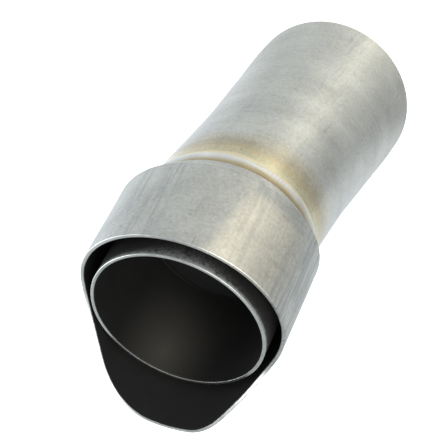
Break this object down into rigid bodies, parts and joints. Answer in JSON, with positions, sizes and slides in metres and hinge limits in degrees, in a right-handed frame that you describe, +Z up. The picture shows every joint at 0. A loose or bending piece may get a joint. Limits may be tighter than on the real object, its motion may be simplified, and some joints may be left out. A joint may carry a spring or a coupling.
{
  "type": "exhaust baffle insert",
  "caption": "Mitred steel exhaust baffle tube with an expanded foot, an inner pipe and a swaged tip sleeve whose mouth runs out to a long lip.",
  "frame": {"origin": "centre of the main tube's expanded far end, on the surface that it stands on", "axes": "+Z up along the main tube's axis, +Y the way the tip leans, towards the long lip of the mouth, +X to the right seen from -Y"},
  "size_m": [0.0598, 0.0709, 0.1417],
  "materials": {
    "brushed_tube": "fine brushed round the tube",
    "satin_sleeve": "satin, lightly scratched",
    "weld_metal": "smooth weld, straw heat tint"
  },
  "bodies": {
    "root": {"main_tube": "brushed_tube", "inner_pipe": "brushed_tube", "tip_sleeve": "satin_sleeve", "weld_bead": "weld_metal"}
  },
  "joints": []
}
